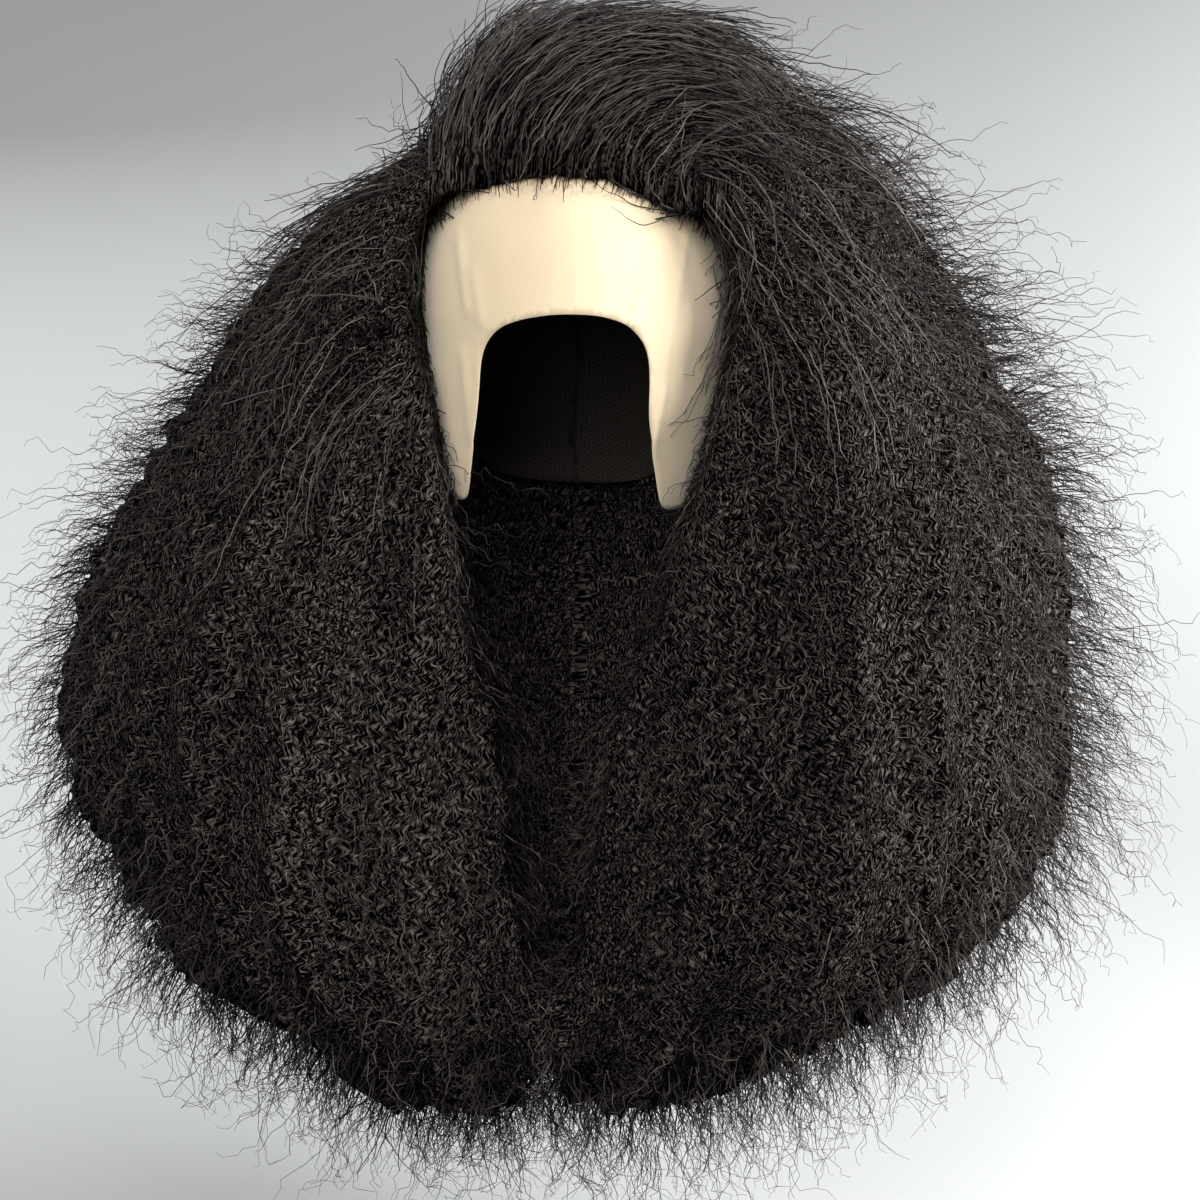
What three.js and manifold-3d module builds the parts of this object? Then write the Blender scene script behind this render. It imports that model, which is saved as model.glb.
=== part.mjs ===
// Lace front wig: a full head of frizzy kinky-straight hair, swept over from a side parting.
// The hair is knotted to a sheer lace front and sewn in rows to a net cap behind it.
// Millimetres, +Z up, the face looks to -Y and its left ear lies at +X.
// The origin is the crown, on the inside of the cap where it sits on the head.
import * as THREE from 'three';
import { mergeVertices } from 'three/addons/utils/BufferGeometryUtils.js';
import Module from 'manifold-3d';

const wasm = await Module();
wasm.setup();

// Driving sizes
const WALL = 1.2;
const SEAM_GAP = 0.3;
const PARTING_GAP = 0.5;
const HEAD_COLUMNS = 44;
const HAIR_LOCKS = 30;
const COLUMNS_PER_LOCK = 4;
const PLAN_POWER = 2.25;
const FACE_DENT_HALF_WIDTH = 150;
const LOCK_SWAY = 0.4;
const LOCK_SWAY_LENGTH = 42;
const LOCK_SWAY_SHIFT = 2.1;
const LOCK_RIDGE_SPREAD = 0.25;
const LOCK_RIDGE_SHIFT = 2.4;
const LOCK_TAPER = 0.6;
const LOCK_PATH_STEPS = 6;
const SURFACE_EDGE = 0.96;
const CROWN_LEVELS = 4;
const OPENING_FRONT = -220;
const OPENING_BACK = -30;
const REACH = 700;

// Head form under the cap and the free space for the neck, a row for each level from the crown down
const HEAD_TOP = 0;
const HEAD_ROWS = [
  { z: -3, half: 21, front: -24, back: 27 },
  { z: -12, half: 39, front: -45, back: 51 },
  { z: -28, half: 55, front: -65, back: 71 },
  { z: -50, half: 67, front: -80, back: 86 },
  { z: -78, half: 75, front: -91, back: 95 },
  { z: -110, half: 78, front: -97, back: 98 },
  { z: -150, half: 75, front: -95, back: 95 },
  { z: -190, half: 69, front: -88, back: 86 },
  { z: -230, half: 60, front: -77, back: 72 },
  { z: -268, half: 52, front: -67, back: 61 },
];
const NECK_ROWS = [
  { z: -305, half: 30, front: -44, back: 40 },
  { z: -352, half: 22, front: -38, back: 30 },
  { z: -410, half: 14, front: -34, back: 20 },
  { z: -470, half: 11, front: -32, back: 16 },
  { z: -610, half: 14, front: -34, back: 20 },
];

// Outer form of the hair, a row for each level: its four sides, the hollow in front of the face,
// how far the ridge of each lock stands out, and how far it hangs below the furrows beside it
const HAIR_TOP = { x: 8, y: 10, z: 29 };
const HAIR_ROWS = [
  { z: 22, left: -33, right: 58, front: -36, back: 58, dent: 0, ridge: 0, hang: 0 },
  { z: 8, left: -53, right: 92, front: -58, back: 92, dent: 0, ridge: 0.5, hang: 0 },
  { z: -12, left: -67, right: 138, front: -75, back: 120, dent: 0, ridge: 1, hang: 0 },
  { z: -32, left: -76, right: 167, front: -85, back: 140, dent: 0, ridge: 1.5, hang: 0 },
  { z: -48, left: -96, right: 187, front: -92, back: 153, dent: 4, ridge: 2.5, hang: 0 },
  { z: -72, left: -132, right: 210, front: -100, back: 168, dent: 22, ridge: 4, hang: 0 },
  { z: -104, left: -168, right: 239, front: -108, back: 184, dent: 42, ridge: 6, hang: 0 },
  { z: -145, left: -199, right: 271, front: -118, back: 200, dent: 56, ridge: 7, hang: 0 },
  { z: -195, left: -234, right: 287, front: -126, back: 213, dent: 64, ridge: 7, hang: 0 },
  { z: -255, left: -268, right: 297, front: -131, back: 224, dent: 66, ridge: 8, hang: 0 },
  { z: -320, left: -282, right: 304, front: -133, back: 231, dent: 60, ridge: 8, hang: 0 },
  { z: -385, left: -279, right: 305, front: -131, back: 230, dent: 50, ridge: 9, hang: 0 },
  { z: -440, left: -262, right: 294, front: -124, back: 219, dent: 40, ridge: 9, hang: 4 },
  { z: -488, left: -229, right: 260, front: -108, back: 195, dent: 30, ridge: 9, hang: 8 },
  { z: -526, left: -182, right: 210, front: -82, back: 156, dent: 20, ridge: 8, hang: 10 },
  { z: -552, left: -122, right: 144, front: -46, back: 104, dent: 8, ridge: 6, hang: 10 },
];
const HAIR_BOTTOM = { x: 10, y: 26, z: -566 };

// Hairline and the inner edges of the hair beside the face and below it, seen from the front
const FACE_ROWS = [
  { z: -46, left: -24, right: 12 },
  { z: -52, left: -49, right: 30 },
  { z: -62, left: -66, right: 56 },
  { z: -80, left: -74, right: 71 },
  { z: -102, left: -75, right: 75 },
  { z: -140, left: -69, right: 70 },
  { z: -180, left: -59, right: 61 },
  { z: -220, left: -52, right: 51 },
  { z: -262, left: -47, right: 43 },
  { z: -302, left: -24, right: 21 },
  { z: -350, left: -19, right: 17 },
  { z: -410, left: -9, right: 7 },
  { z: -470, left: -6, right: 5 },
  { z: -610, left: -8, right: 7 },
];

// Untrimmed front edge of the lace, seen from the front: a flap over the brow and a band at each side
const LACE_EDGE = [
  { x: -49, z: -240 },
  { x: -46, z: -190 },
  { x: -42, z: -150 },
  { x: -40, z: -122 },
  { x: -24, z: -111 },
  { x: 0, z: -107 },
  { x: 22, z: -110 },
  { x: 35, z: -124 },
  { x: 36, z: -160 },
  { x: 42, z: -188 },
  { x: 48, z: -240 },
];

// Side view of the seam between lace and cap, and of their lower edge from the brow to the nape
const LACE_SEAM = { topY: 12, topZ: 20, bottomY: -26, bottomZ: -260 };
const LOWER_EDGE = [
  { y: -130, z: -196 },
  { y: -60, z: -200 },
  { y: -34, z: -196 },
  { y: 6, z: -168 },
  { y: 44, z: -186 },
  { y: 74, z: -212 },
  { y: 130, z: -216 },
];

// Front sweep: locks rise from the hairline and arc over to the far side, round one centre
const SWEEP = { x: 56, z: -52, count: 8, inner: 26, outer: 114, rise: 13, riseShare: 0.5 };
const SWEEP_LOCK = { radius: 9, flat: 0.62, lift: 0.5, sides: 5, stations: 7 };
const SWEEP_TURN = { start: 2, inner: 124, outer: 96 };

// Temple fall: locks leave the hairline beside the parting and curl down the other way
const FALL = { count: 5, x: -72, firstZ: -58, lastZ: -112, reach: 62, drop: 58, turn: 95 };
const FALL_LOCK = { radius: 9, flat: 0.65, lift: 0.5, sides: 5, stations: 6 };

// Where the hair divides between the lace, the two sides and the back
const PARTING_X = -70;
const TEMPLE_X = 76;
const TEMPLE_Z = -96;
const MIDDLE_X = -1;
const BACK_Y = 44;

const lerp = THREE.MathUtils.lerp;
const radians = THREE.MathUtils.degToRad;

// A closed body through rings of equal length, each counter-clockwise from above, with a point at each end
function loft(first, rings, last) {
  const columns = rings[0].length;
  const points = [first, ...rings.flat(), last];
  const at = (row, column) => 1 + row * columns + (column % columns);
  const end = points.length - 1;
  const index = [];
  for (let column = 0; column < columns; column += 1) {
    index.push(0, at(0, column), at(0, column + 1));
    for (let row = 0; row + 1 < rings.length; row += 1) {
      const upper = at(row, column);
      const lower = at(row + 1, column);
      const upperNext = at(row, column + 1);
      const lowerNext = at(row + 1, column + 1);
      index.push(upper, lower, lowerNext, upper, lowerNext, upperNext);
    }
    index.push(end, at(rings.length - 1, column + 1), at(rings.length - 1, column));
  }
  const geometry = new THREE.BufferGeometry().setFromPoints(points);
  geometry.setIndex(index);
  return geometry;
}

// A closed geometry as a solid that can be cut and joined
function solidOf(geometry) {
  geometry.deleteAttribute('normal');
  geometry.deleteAttribute('uv');
  const merged = mergeVertices(geometry, 1e-4);
  const mesh = new wasm.Mesh({
    numProp: 3,
    vertProperties: new Float32Array(merged.attributes.position.array),
    triVerts: new Uint32Array(merged.index.array),
  });
  return new wasm.Manifold(mesh);
}

function joined(solids) {
  return solids.reduce((whole, solid) => whole.add(solid));
}

function block(minX, maxX, minY, maxY, minZ, maxZ) {
  const geometry = new THREE.BoxGeometry(maxX - minX, maxY - minY, maxZ - minZ);
  geometry.translate((minX + maxX) / 2, (minY + maxY) / 2, (minZ + maxZ) / 2);
  return solidOf(geometry);
}

// Head form, swollen by an offset: an egg-shaped ring at each level
function headRing(row, offset) {
  const ring = [];
  for (let column = 0; column < HEAD_COLUMNS; column += 1) {
    const angle = (2 * Math.PI * column) / HEAD_COLUMNS;
    const depth = Math.cos(angle) > 0 ? offset - row.front : row.back + offset;
    const x = (row.half + offset) * Math.sin(angle);
    ring.push(new THREE.Vector3(x, -depth * Math.cos(angle), row.z + row.swell * offset));
  }
  return ring;
}

function headForm(offset, rows) {
  const crownSwell = rows.map((row, level) => ({ ...row, swell: Math.max(0, 1 - level / CROWN_LEVELS) }));
  const rings = crownSwell.map((row) => headRing(row, offset));
  const top = new THREE.Vector3(0, 0, HEAD_TOP + offset);
  const bottom = new THREE.Vector3(0, 0, rows[rows.length - 1].z - 1);
  return solidOf(loft(top, rings, bottom));
}

// Outline drawn in the front view, x across and z up, cut through from one depth to another
function throughFront(shape, fromY, toY) {
  const settings = { depth: toY - fromY, bevelEnabled: false, curveSegments: 2 };
  const geometry = new THREE.ExtrudeGeometry(shape, settings);
  geometry.rotateX(Math.PI / 2);
  geometry.translate(0, toY, 0);
  return solidOf(geometry);
}

// Outline drawn in the side view, y across and z up, cut through from side to side
function throughSide(shape) {
  const settings = { depth: 2 * REACH, bevelEnabled: false, curveSegments: 3 };
  const geometry = new THREE.ExtrudeGeometry(shape, settings);
  geometry.rotateX(Math.PI / 2);
  geometry.rotateZ(Math.PI / 2);
  geometry.translate(-REACH, 0, 0);
  return solidOf(geometry);
}

// Lace and cap: one thin dome, trimmed below and divided at the seam from ear to ear
function laceFlap() {
  const shape = new THREE.Shape();
  const edge = LACE_EDGE.map((point) => new THREE.Vector2(point.x, point.z));
  shape.moveTo(edge[0].x, -REACH);
  shape.lineTo(edge[0].x, edge[0].y);
  shape.splineThru(edge.slice(1));
  shape.lineTo(edge[edge.length - 1].x, -REACH);
  return throughFront(shape, -REACH, 0);
}

function besideSeam(gap, side) {
  const shape = new THREE.Shape();
  const top = LACE_SEAM.topY + side * gap;
  const bottom = LACE_SEAM.bottomY + side * gap;
  shape.moveTo(side * REACH, LACE_SEAM.topZ);
  shape.lineTo(top, LACE_SEAM.topZ);
  shape.lineTo(bottom, LACE_SEAM.bottomZ);
  shape.lineTo(side * REACH, LACE_SEAM.bottomZ);
  return throughSide(shape);
}

function belowLowerEdge() {
  const shape = new THREE.Shape();
  const edge = LOWER_EDGE.map((point) => new THREE.Vector2(point.y, point.z));
  shape.moveTo(edge[0].x, -REACH);
  shape.lineTo(edge[0].x, edge[0].y);
  shape.splineThru(edge.slice(1));
  shape.lineTo(edge[edge.length - 1].x, -REACH);
  return throughSide(shape);
}

const dome = headForm(WALL, HEAD_ROWS).subtract(headForm(0, HEAD_ROWS)).subtract(belowLowerEdge());
const lace = dome.intersect(besideSeam(SEAM_GAP / 2, -1)).subtract(laceFlap());
const cap = dome.intersect(besideSeam(SEAM_GAP / 2, 1));

// Hair: a rounded mass whose surface is fluted into locks that sway as they fall
function power(value) {
  return Math.sign(value) * Math.abs(value) ** (2 / PLAN_POWER);
}

function hairRing(row) {
  const columns = HAIR_LOCKS * COLUMNS_PER_LOCK;
  const middleY = (row.front + row.back) / 2;
  const halfDepth = (row.back - row.front) / 2;
  const ring = [];
  for (let column = 0; column < columns; column += 1) {
    const lock = Math.floor(column / COLUMNS_PER_LOCK);
    const sway = LOCK_SWAY * Math.sin(row.z / LOCK_SWAY_LENGTH + LOCK_SWAY_SHIFT * lock);
    const angle = (2 * Math.PI * (column + sway)) / columns;
    const size = 1 - LOCK_RIDGE_SPREAD * (1 - Math.sin(LOCK_RIDGE_SHIFT * lock));
    const crest = size * Math.cos((2 * Math.PI * column) / COLUMNS_PER_LOCK);
    const halfWidth = Math.sin(angle) > 0 ? row.right : -row.left;
    const x = halfWidth * power(Math.sin(angle)) + row.ridge * crest * Math.sin(angle);
    const y = middleY - halfDepth * power(Math.cos(angle)) - row.ridge * crest * Math.cos(angle);
    const inFront = Math.cos(angle) > 0 ? Math.max(0, 1 - (x / FACE_DENT_HALF_WIDTH) ** 2) : 0;
    ring.push(new THREE.Vector3(x, y + row.dent * inFront ** 2, row.z - row.hang * crest));
  }
  return ring;
}

function hairMass() {
  const top = new THREE.Vector3(HAIR_TOP.x, HAIR_TOP.y, HAIR_TOP.z);
  const bottom = new THREE.Vector3(HAIR_BOTTOM.x, HAIR_BOTTOM.y, HAIR_BOTTOM.z);
  return solidOf(loft(top, HAIR_ROWS.map(hairRing), bottom));
}

// Depth of the hair's front surface at a point of the front view
function hairFront(x, z) {
  const found = HAIR_ROWS.findIndex((row) => row.z <= z);
  const level = THREE.MathUtils.clamp(found, 1, HAIR_ROWS.length - 1);
  const upper = HAIR_ROWS[level - 1];
  const lower = HAIR_ROWS[level];
  const share = THREE.MathUtils.clamp((upper.z - z) / (upper.z - lower.z), 0, 1);
  const side = (name) => lerp(upper[name], lower[name], share);
  const across = x > 0 ? x / side('right') : x / side('left');
  const fall = (1 - Math.min(across, SURFACE_EDGE) ** PLAN_POWER) ** (1 / PLAN_POWER);
  const middleY = (side('front') + side('back')) / 2;
  return middleY - (middleY - side('front')) * fall;
}

// One lock along a path on the hair's surface, thin at both ends
function lockAlong(path, lock) {
  const curve = new THREE.CatmullRomCurve3(path);
  const frames = curve.computeFrenetFrames(lock.stations, false);
  const rings = [];
  for (let station = 1; station < lock.stations; station += 1) {
    const share = station / lock.stations;
    const radius = lock.radius * Math.sin(Math.PI * share) ** LOCK_TAPER;
    const centre = curve.getPointAt(share);
    const outward = new THREE.Vector3(0, -1, 0);
    const along = frames.tangents[station];
    outward.addScaledVector(along, -outward.dot(along)).normalize();
    const across = new THREE.Vector3().crossVectors(along, outward);
    const ring = [];
    for (let corner = 0; corner < lock.sides; corner += 1) {
      const angle = (-2 * Math.PI * corner) / lock.sides;
      const point = centre.clone();
      point.addScaledVector(outward, radius * lock.flat * Math.cos(angle));
      point.addScaledVector(across, radius * Math.sin(angle));
      ring.push(point);
    }
    rings.push(ring);
  }
  return solidOf(loft(curve.getPointAt(0), rings, curve.getPointAt(1)));
}

function onHair(x, z, lift) {
  return new THREE.Vector3(x, hairFront(x, z) - lift, z);
}

function sweepLock(number) {
  const share = number / (SWEEP.count - 1);
  const radius = lerp(SWEEP.inner, SWEEP.outer, share);
  const rise = SWEEP.rise + SWEEP.riseShare * radius;
  const turn = lerp(SWEEP_TURN.inner, SWEEP_TURN.outer, share);
  const path = [];
  for (let step = 0; step <= LOCK_PATH_STEPS; step += 1) {
    const angle = radians(lerp(SWEEP_TURN.start, turn, step / LOCK_PATH_STEPS));
    const x = SWEEP.x - radius * Math.cos(angle);
    const z = SWEEP.z + rise * Math.sin(angle);
    path.push(onHair(x, z, SWEEP_LOCK.lift));
  }
  return lockAlong(path, SWEEP_LOCK);
}

function fallLock(number) {
  const startZ = lerp(FALL.firstZ, FALL.lastZ, number / (FALL.count - 1));
  const path = [];
  for (let step = 0; step <= LOCK_PATH_STEPS; step += 1) {
    const angle = radians((FALL.turn * step) / LOCK_PATH_STEPS);
    const x = FALL.x - FALL.reach * Math.sin(angle);
    const z = startZ - FALL.drop * (1 - Math.cos(angle));
    path.push(onHair(x, z, FALL_LOCK.lift));
  }
  return lockAlong(path, FALL_LOCK);
}

function faceOpening() {
  const left = FACE_ROWS.map((row) => new THREE.Vector2(row.left, row.z));
  const right = FACE_ROWS.map((row) => new THREE.Vector2(row.right, row.z)).reverse();
  const shape = new THREE.Shape();
  shape.moveTo(left[0].x, left[0].y);
  shape.splineThru(left.slice(1));
  shape.lineTo(right[0].x, right[0].y);
  shape.splineThru(right.slice(1));
  return throughFront(shape, OPENING_FRONT, OPENING_BACK);
}

const numbers = (count) => Array.from({ length: count }, (unused, number) => number);
const mass = hairMass();
const sweptMass = joined([mass, ...numbers(SWEEP.count).map(sweepLock)]);
const fallenMass = joined([mass, ...numbers(FALL.count).map(fallLock)]);
const hollow = headForm(WALL + SEAM_GAP, [...HEAD_ROWS, ...NECK_ROWS]).add(faceOpening());

// The hair divides where its rows of knots and stitches do
const half = PARTING_GAP / 2;
const behind = block(-REACH, REACH, BACK_Y + half, REACH, -REACH, REACH);
const ahead = block(-REACH, REACH, -REACH, BACK_Y - half, -REACH, REACH).subtract(hollow);
const overBrow = block(PARTING_X + half, TEMPLE_X - half, -REACH, REACH, TEMPLE_Z + half, REACH);
const aroundBrow = block(PARTING_X - half, TEMPLE_X + half, -REACH, REACH, TEMPLE_Z - half, REACH);
const leftSide = block(-REACH, MIDDLE_X - half, -REACH, REACH, -REACH, REACH).subtract(aroundBrow);
const rightSide = block(MIDDLE_X + half, REACH, -REACH, REACH, -REACH, REACH).subtract(aroundBrow);

const HAIR_COLOUR = 0x1c1716;
const LACE_COLOUR = 0xe6d3ac;
const CAP_COLOUR = 0x2a201b;

function piece(name, solid, colour, roughness) {
  const mesh = solid.getMesh();
  const geometry = new THREE.BufferGeometry();
  geometry.setAttribute('position', new THREE.BufferAttribute(new Float32Array(mesh.vertProperties), 3));
  geometry.setIndex(new THREE.BufferAttribute(new Uint32Array(mesh.triVerts), 1));
  geometry.computeVertexNormals();
  const material = new THREE.MeshStandardMaterial({ color: colour, roughness, metalness: 0 });
  const made = new THREE.Mesh(geometry, material);
  made.name = name;
  return made;
}

const wig = new THREE.Group();
wig.name = 'lace_front_wig';
wig.add(piece('lace_front', lace, LACE_COLOUR, 0.85));
wig.add(piece('cap', cap, CAP_COLOUR, 0.9));
wig.add(piece('front_hair', sweptMass.intersect(ahead).intersect(overBrow), HAIR_COLOUR, 0.55));
wig.add(piece('left_hair', fallenMass.intersect(ahead).intersect(leftSide), HAIR_COLOUR, 0.55));
wig.add(piece('right_hair', mass.intersect(ahead).intersect(rightSide), HAIR_COLOUR, 0.55));
wig.add(piece('back_hair', mass.intersect(behind).subtract(hollow), HAIR_COLOUR, 0.55));

export default wig;
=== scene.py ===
# Lace front wig: frizzy kinky-straight hair on a lace front and a net cap, held up at the crown.
# Metres, +Z up, the face looks to -Y.
import math

import bmesh
import bpy
import numpy as np
from mathutils import Matrix, Vector, noise
from mathutils.bvhtree import BVHTree


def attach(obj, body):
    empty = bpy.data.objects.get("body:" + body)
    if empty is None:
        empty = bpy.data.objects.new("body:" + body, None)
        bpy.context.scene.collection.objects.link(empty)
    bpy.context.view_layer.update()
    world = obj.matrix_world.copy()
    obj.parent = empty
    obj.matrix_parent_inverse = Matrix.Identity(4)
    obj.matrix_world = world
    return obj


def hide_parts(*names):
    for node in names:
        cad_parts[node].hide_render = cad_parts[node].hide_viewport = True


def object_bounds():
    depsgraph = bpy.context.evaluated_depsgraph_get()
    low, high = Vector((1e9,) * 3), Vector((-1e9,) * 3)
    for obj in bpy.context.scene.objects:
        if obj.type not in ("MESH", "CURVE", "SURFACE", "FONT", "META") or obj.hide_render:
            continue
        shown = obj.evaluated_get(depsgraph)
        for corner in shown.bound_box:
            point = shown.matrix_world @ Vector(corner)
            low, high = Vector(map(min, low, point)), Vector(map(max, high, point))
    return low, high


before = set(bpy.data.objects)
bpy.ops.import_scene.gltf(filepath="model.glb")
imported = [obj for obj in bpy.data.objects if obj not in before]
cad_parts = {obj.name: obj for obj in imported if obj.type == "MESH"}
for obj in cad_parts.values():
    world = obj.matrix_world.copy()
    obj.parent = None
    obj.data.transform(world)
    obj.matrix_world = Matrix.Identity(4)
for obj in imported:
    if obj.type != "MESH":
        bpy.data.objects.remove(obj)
cad_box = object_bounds()

# Studio
# A round pale floor that curves up into a wall, soft daylight from the right, weaker lights
# from the front and from behind, and a camera that looks slightly down on the wig from the front.
scene = bpy.context.scene
scene.view_settings.view_transform = "Standard"

CAMERA_AT = Vector((0.0172, -1.0212, -0.0228))
CAMERA_PITCH = math.radians(13)
CAMERA_ROLL = math.radians(2.42)
CAMERA_ANGLE = math.radians(32.18)


def camera_matrix():
    ahead = Vector((0, math.cos(CAMERA_PITCH), -math.sin(CAMERA_PITCH)))
    up = Vector((0, math.sin(CAMERA_PITCH), math.cos(CAMERA_PITCH)))
    side = Vector((1, 0, 0))
    picture_x = math.cos(CAMERA_ROLL) * side + math.sin(CAMERA_ROLL) * up
    picture_y = math.cos(CAMERA_ROLL) * up - math.sin(CAMERA_ROLL) * side
    turned = Matrix((picture_x, picture_y, -ahead)).transposed().to_4x4()
    return Matrix.Translation(CAMERA_AT) @ turned


camera = bpy.data.objects.new("camera", bpy.data.cameras.new("camera"))
scene.collection.objects.link(camera)
camera.data.angle = CAMERA_ANGLE
camera.matrix_world = camera_matrix()
scene.camera = camera

DAYLIGHT = (1, 0.99, 0.97)
WARM_LIGHT = (1, 0.98, 0.95)
COOL_LIGHT = (0.98, 0.99, 1)
WALL_LIGHT = (0.99, 1, 1)
AIR_COLOUR = (0.86, 0.9, 0.93, 1)
AIR_STRENGTH = 0.08


def soft_light(name, place, target, size, power, colour):
    """A square area light at a place, turned to its target."""
    data = bpy.data.lights.new(name, "AREA")
    data.size = size
    data.energy = power
    data.color = colour
    light = bpy.data.objects.new(name, data)
    light.location = place
    light.rotation_euler = (Vector(target) - Vector(place)).to_track_quat("-Z", "Y").to_euler()
    light.visible_camera = False
    scene.collection.objects.link(light)


soft_light("window_light", (1.4, -0.25, 0.0), (0.1, 0, -0.2), 0.7, 45, DAYLIGHT)
soft_light("face_light", (0.08, -0.85, 0.5), (0, -0.05, -0.1), 0.45, 3.6, WARM_LIGHT)
soft_light("front_light", (-0.4, -1.4, 0.35), (0, 0, -0.15), 0.8, 11, DAYLIGHT)
soft_light("high_light", (-0.2, -1.0, 1.0), (0, 0, -0.1), 0.7, 7, DAYLIGHT)
soft_light("left_light", (-1.5, 1.0, -0.1), (0, 0.05, -0.25), 0.8, 9, COOL_LIGHT)
soft_light("rim_light", (1.1, 0.6, 0.9), (0.1, 0.05, -0.2), 0.8, 20, COOL_LIGHT)
soft_light("back_light", (-0.7, 1.4, 0.7), (0, 0.1, -0.25), 0.8, 14, COOL_LIGHT)
soft_light("wall_light", (1.2, 1.1, 0.3), (1.3, 2.6, -0.3), 0.8, 13, WALL_LIGHT)

world = bpy.data.worlds.new("studio_air")
world.use_nodes = True
world.node_tree.nodes["Background"].inputs["Color"].default_value = AIR_COLOUR
world.node_tree.nodes["Background"].inputs["Strength"].default_value = AIR_STRENGTH
scene.world = world


class Wire:
    """A node socket in an expression: operators add Math or Vector Math nodes to its tree."""

    def __init__(self, socket):
        self.socket = socket

    @property
    def tree(self):
        return self.socket.id_data

    def is_vector(self):
        return self.socket.type in ("VECTOR", "RGBA")

    def node(self, kind, sockets=None, out=0, **settings):
        """Any other node of the tree: its settings first, then the values or links of its sockets."""
        return add_node(self.tree, kind, sockets, out, **settings)

    def maths(self, operation, *others):
        sockets = dict(enumerate((self, *others)))
        return self.node("ShaderNodeMath", sockets, operation=operation)

    def vector(self, operation, *others, out=0):
        sockets = dict(enumerate((self, *others)))
        return self.node("ShaderNodeVectorMath", sockets, out, operation=operation)

    def scaled(self, factor):
        return self.node("ShaderNodeVectorMath", {0: self, "Scale": factor}, operation="SCALE")

    def __add__(self, other):
        return self.vector("ADD", other) if self.is_vector() else self.maths("ADD", other)

    def __radd__(self, other):
        return self + other

    def __sub__(self, other):
        return self.vector("SUBTRACT", other) if self.is_vector() else self.maths("SUBTRACT", other)

    def __rsub__(self, other):
        return self * -1 + other

    def __mul__(self, other):
        if not self.is_vector():
            if isinstance(other, Wire) and other.is_vector():
                return other * self
            return self.maths("MULTIPLY", other)
        if isinstance(other, tuple) or (isinstance(other, Wire) and other.is_vector()):
            return self.vector("MULTIPLY", other)
        return self.scaled(other)

    def __rmul__(self, other):
        return self * other

    def __truediv__(self, other):
        return self.maths("DIVIDE", other)

    def __pow__(self, other):
        return self.maths("POWER", other)

    def exponent(self):
        """Two to the power of this value."""
        return self.node("ShaderNodeMath", {0: 2.0, 1: self}, operation="POWER")

    def between(self, low, high):
        """0 at low and 1 at high, eased at both ends."""
        sockets = {"Value": self, "From Min": low, "From Max": high}
        return self.node("ShaderNodeMapRange", sockets, interpolation_type="SMOOTHSTEP")

    def mix(self, first, second):
        """A colour between two, by this value."""
        sockets = {"Factor": self, "A": first, "B": second}
        return self.node("ShaderNodeMix", sockets, "Result", data_type="RGBA")


def add_node(tree, kind, sockets=None, out=0, **settings):
    """A new node, its settings set first and then the values or links of its sockets."""
    node = tree.nodes.new(kind)
    for name, value in settings.items():
        setattr(node, name, value)
    for name, value in (sockets or {}).items():
        socket = node.inputs[name] if isinstance(name, int) else open_socket(node.inputs, name)
        if isinstance(value, Wire):
            tree.links.new(value.socket, socket)
        else:
            socket.default_value = value
    return Wire(node.outputs[out] if isinstance(out, int) else open_socket(node.outputs, out))


def open_socket(sockets, name):
    """The socket of that name which the node's settings leave in use."""
    return next(socket for socket in sockets if socket.name == name and socket.enabled)


def new_material(name, **constants):
    """A material with its shader's constant sockets set, and its tree."""
    material = bpy.data.materials.new(name)
    material.use_nodes = True
    shader = material.node_tree.nodes["Principled BSDF"]
    for socket, value in constants.items():
        shader.inputs[socket.replace("_", " ")].default_value = value
    return material, material.node_tree, shader


def feed(shader, **wires):
    """Links that give what varies over a surface to its shader."""
    for socket, wire in wires.items():
        shader.id_data.links.new(wire.socket, shader.inputs[socket.replace("_", " ")])


FLOOR_Z = -0.66
ROOM_RADIUS = 2.6
ROOM_TOP = 2.4
CORNER_RADIUS = 1.9
CORNER_STEPS = 24
ROOM_SIDES = 72
FLOOR_RADIUS = 0.6
PAPER_DARK = (0.47, 0.48, 0.485, 1)
PAPER_LIGHT = (0.525, 0.535, 0.54, 1)


def backdrop_profile():
    """Half a section of floor, round corner and wall: distance from the middle, and height."""
    points = [(FLOOR_RADIUS, FLOOR_Z)]
    for step in range(CORNER_STEPS + 1):
        turn = math.pi / 2 * step / CORNER_STEPS
        out = ROOM_RADIUS - CORNER_RADIUS + CORNER_RADIUS * math.sin(turn)
        points.append((out, FLOOR_Z + CORNER_RADIUS * (1 - math.cos(turn))))
    return points + [(ROOM_RADIUS, ROOM_TOP)]


def object_from(name, vertices, faces):
    mesh = bpy.data.meshes.new(name)
    mesh.from_pydata(vertices, [], faces)
    made = bpy.data.objects.new(name, mesh)
    scene.collection.objects.link(made)
    return made


profile = backdrop_profile()
turns = [2 * math.pi * side / ROOM_SIDES for side in range(ROOM_SIDES)]
corners = [(out * math.cos(turn), out * math.sin(turn), z) for out, z in profile for turn in turns]
strips = [tuple(range(ROOM_SIDES))]
for ring in range(len(profile) - 1):
    for side in range(ROOM_SIDES):
        first = ring * ROOM_SIDES + side
        second = ring * ROOM_SIDES + (side + 1) % ROOM_SIDES
        strips.append((first, first + ROOM_SIDES, second + ROOM_SIDES, second))
backdrop = object_from("backdrop", corners, strips)
backdrop.data.polygons.foreach_set("use_smooth", [True] * len(strips))
paper, paper_tree, paper_shader = new_material("pale_paper", Roughness=0.85)
place = add_node(paper_tree, "ShaderNodeTexCoord", out="Object")
cloudy = place.node("ShaderNodeTexNoise", {"Vector": place, "Scale": 0.9, "Detail": 2.0})
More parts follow.
